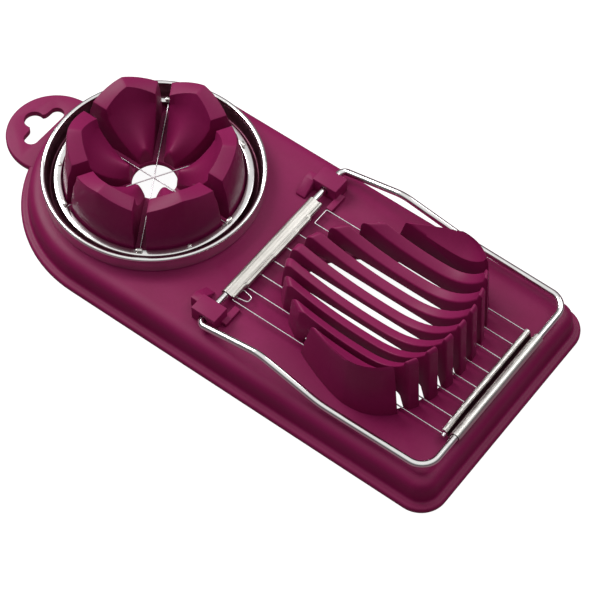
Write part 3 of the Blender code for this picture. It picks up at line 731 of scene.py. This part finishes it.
def make_crimp():
    """A short crimped sleeve with a pinched waist."""
    profile = [(0, 0.5), (0.08, 0.7), (0.3, 0.75), (0.5, 0.6), (0.7, 0.75), (0.92, 0.7), (1, 0.5)]
    sections = []
    for share, radius in profile:
        y = CRIMP_Y + CRIMP_LENGTH * share
        sections.append([(CRIMP_X + x, y, CRIMP_Z + z) for x, z in arc(0, 0, radius, 0, 345, 23)])
    show("wire_crimp_skin", mesh_from(loft(sections), "crimp", 50), wire_steel, "harp", "steel", "wire_crimp")


# ---------------------------------------------------------------- wedger ring


def make_hoop():
    """Rolled rim, outer wall, channel and inner lip, turned in one."""
    top, foot = RIM_TOP, RING_FOOT
    profile = [(37.7, top - 0.03), (38.1, top), (38.45, top - 0.12), (38.7, top - 0.4), (38.8, top - 0.8)]
    profile += [(38.7, top - 1.15), (38.45, top - 1.45), (38.25, top - 1.7), (38.15, top - 2.2)]
    profile += [(38.15, top - 3.4), (38.25, foot + 1.2), (38.3, foot + 0.4), (38.3, foot), (37.6, foot)]
    profile += [(37.45, foot + 0.7), (37.2, foot + 1.1), (36.8, foot + 0.7), (36.2, foot + 0.1)]
    profile += [(35.2, foot + 0.1), (34.5, foot + 0.8), (34.1, foot + 1.8), (33.7, 14.1), (32.1, 14.1)]
    profile += [(31.85, 14.2), (31.8, 14.4), (31.9, 14.62), (32.2, 14.72), (33.7, 14.72), (34.1, 14.6)]
    profile += [(34.35, 14.3), (34.7, 13.6), (35.1, foot + 1.1), (35.45, foot + 0.85), (35.75, foot + 0.95)]
    profile += [(36.1, foot + 1.4), (36.5, 14.4), (36.8, 15.9), (37.0, 17.1), (37.15, 17.8), (37.35, 18.2)]
    hoop = turned("ring_hoop_skin", profile, RING_X, chrome, "wedger", "chrome", "ring_hoop")
    # Painted shade and a painted reflection of the deck: the channel between rim and lip gets the dark,
    # maroon-tinted steel.
    paint_shade_inside(hoop.data, lambda p: 34.4 < hypot(p.x - RING_X, p.y) < 37.25 and p.z > foot + 0.6)


def make_wedge_wires():
    for number in range(3):
        angle = pi / 3 * number
        z = WEDGE_WIRE_Z + WEDGE_WIRE_STEP * number
        ends = []
        for side in (-1, 1):
            reach = side * WEDGE_WIRE_REACH
            ends.append((RING_X + reach * cos(angle), reach * sin(angle), z))
        name = f"wedge_wire_{number + 1}"
        tube(f"{name}_skin", ends, WEDGE_WIRE, wire_steel, "wedger", "steel", name, sides=3)


def turn_to(bm, angle):
    """Turns a shape built along +X round the ring's axis, and moves it there."""
    bmesh.ops.rotate(bm, verts=bm.verts, cent=(0, 0, 0), matrix=Matrix.Rotation(angle, 3, "Z"))
    bmesh.ops.translate(bm, verts=bm.verts, vec=(RING_X, 0, 0))


def make_lugs():
    """Six small blocks on the ring's lip, which hold the wedge wires' ends."""
    shape = [(31.9, 15.0), (33.0, 15.0), (33.3, 15.2), (33.3, 15.65), (33.0, 15.9)]
    shape += [(32.2, 15.9), (31.9, 15.7)]
    for number in range(6):
        bm = loft([[(x, y, z) for x, z in shape] for y in (-1.1, 1.1)])
        turn_to(bm, pi / 3 * number)
        name = f"wire_lug_{number + 1}"
        mesh = settle(name, mesh_from(bm, name), edge=0.18, segments=2, angle=40)
        show(f"{name}_skin", mesh, sheet_steel, "wedger", "steel", name)


def make_lip_rivets():
    """Three small set rivets in the ring's lip, between lugs."""
    for angle in (90, 210, 330):
        sections = []
        for radius, z in ((0.75, 14.5), (0.75, 14.95), (0.62, 15.15), (0.35, 15.25)):
            sections.append([(x, y, z) for x, y in arc(32.7, 0, radius, 0, 345, 23)])
        bm = loft(sections)
        turn_to(bm, radians(angle))
        name = f"lip_rivet_{angle}"
        show(name, mesh_from(bm, name, 30), sheet_steel, "wedger", "steel")


# ---------------------------------------------------------------- stage


def make_stage():
    """A white floor, hidden from diffuse and glossy rays so that it does not grey the plastic."""
    size = 6.0  # metres
    corners = [(-size, -size, 0), (size, -size, 0), (size, size, 0), (-size, size, 0)]
    floor = bpy.data.meshes.new("floor")
    floor.from_pydata(corners, [], [(0, 1, 2, 3)])
    item = bpy.data.objects.new("floor", floor)
    bpy.context.scene.collection.objects.link(item)
    material = bpy.data.materials.new("floor_white")
    material.use_nodes = True
    shader = material.node_tree.nodes["Principled BSDF"]
    shader.inputs["Base Color"].default_value = (0.2, 0.2, 0.2, 1)
    shader.inputs["Specular IOR Level"].default_value = 0.0
    shader.inputs["Roughness"].default_value = 0.9
    shader.inputs["Emission Color"].default_value = (1, 1, 1, 1)
    shader.inputs["Emission Strength"].default_value = 0.95
    floor.materials.append(material)
    item.visible_diffuse = False
    item.visible_glossy = False


def area_light(name, place, aim, size, power):
    """A soft panel of light. Its place, aim and size are in metres."""
    light = bpy.data.lights.new(name, "AREA")
    light.shape = "RECTANGLE"
    light.size, light.size_y = size
    light.energy = power
    item = bpy.data.objects.new(name, light)
    item.location = place
    item.rotation_euler = (Vector(aim) - Vector(place)).to_track_quat("-Z", "Y").to_euler()
    bpy.context.scene.collection.objects.link(item)


def make_lights():
    """A sky that is dim at the horizon and bright overhead, and two soft panels."""
    world = bpy.data.worlds.new("studio")
    bpy.context.scene.world = world
    world.use_nodes = True
    tree = world.node_tree
    background = tree.nodes["Background"]
    coords = tree.nodes.new("ShaderNodeTexCoord").outputs["Generated"]
    split = tree.nodes.new("ShaderNodeSeparateXYZ")
    link(tree, coords, split.inputs["Vector"])
    ramp = tree.nodes.new("ShaderNodeValToRGB")
    ramp.color_ramp.elements[0].position = 0.0
    ramp.color_ramp.elements[0].color = (0.26, 0.14, 0.18, 1)
    ramp.color_ramp.elements[1].position = 0.86
    ramp.color_ramp.elements[1].color = (0.95, 0.95, 0.95, 1)
    for place, tone in ((0.05, 0.07), (0.35, 0.10), (0.55, 0.34)):
        ramp.color_ramp.elements.new(place).color = (tone, tone, tone * 1.02, 1)
    link(tree, split.outputs["Z"], ramp.inputs["Fac"])
    link(tree, ramp.outputs["Color"], background.inputs["Color"])
    background.inputs["Strength"].default_value = 1.0
    area_light("key", (-0.75, 0.05, 0.75), (0.0, 0.0, 0.0), (0.6, 0.5), 8.2)
    area_light("fill", (0.25, 0.75, 0.8), (0.02, 0.0, 0.0), (0.5, 0.5), 3.0)


def make_camera():
    camera = bpy.data.cameras.new("camera")
    camera.lens = 148.85
    camera.sensor_width = 36
    camera.clip_start = 0.01
    item = bpy.data.objects.new("camera", camera)
    item.location = (0.29548, -0.37673, 0.68023)
    item.rotation_euler = (radians(34.35), radians(-0.434), radians(37.06))
    bpy.context.scene.collection.objects.link(item)
    bpy.context.scene.camera = item


make_shell()
make_tab()
make_petals()
make_ribs()
make_walls()
make_blocks()
make_rod()
make_strip("hinge_strip_skin", HINGE_STRIP_HALF, hinge_path, strip_steel, "hinge_strip")
front = make_strip("front_strip_skin", FRONT_STRIP_HALF, front_path, sheet_steel, "front_strip")
# Painted shade and a painted reflection of the deck: the narrow trough between the front strip's lip and its
# roll gets the dark, maroon-tinted steel.
paint_shade_inside(front.data, lambda p: 95.6 < p.x < 97.3 and p.z < 14.9)
make_strands()
make_turns()
make_crimp()
make_hoop()
make_wedge_wires()
make_lugs()
make_lip_rivets()
make_stage()
make_lights()
make_camera()
bpy.context.scene.view_settings.view_transform = "Standard"
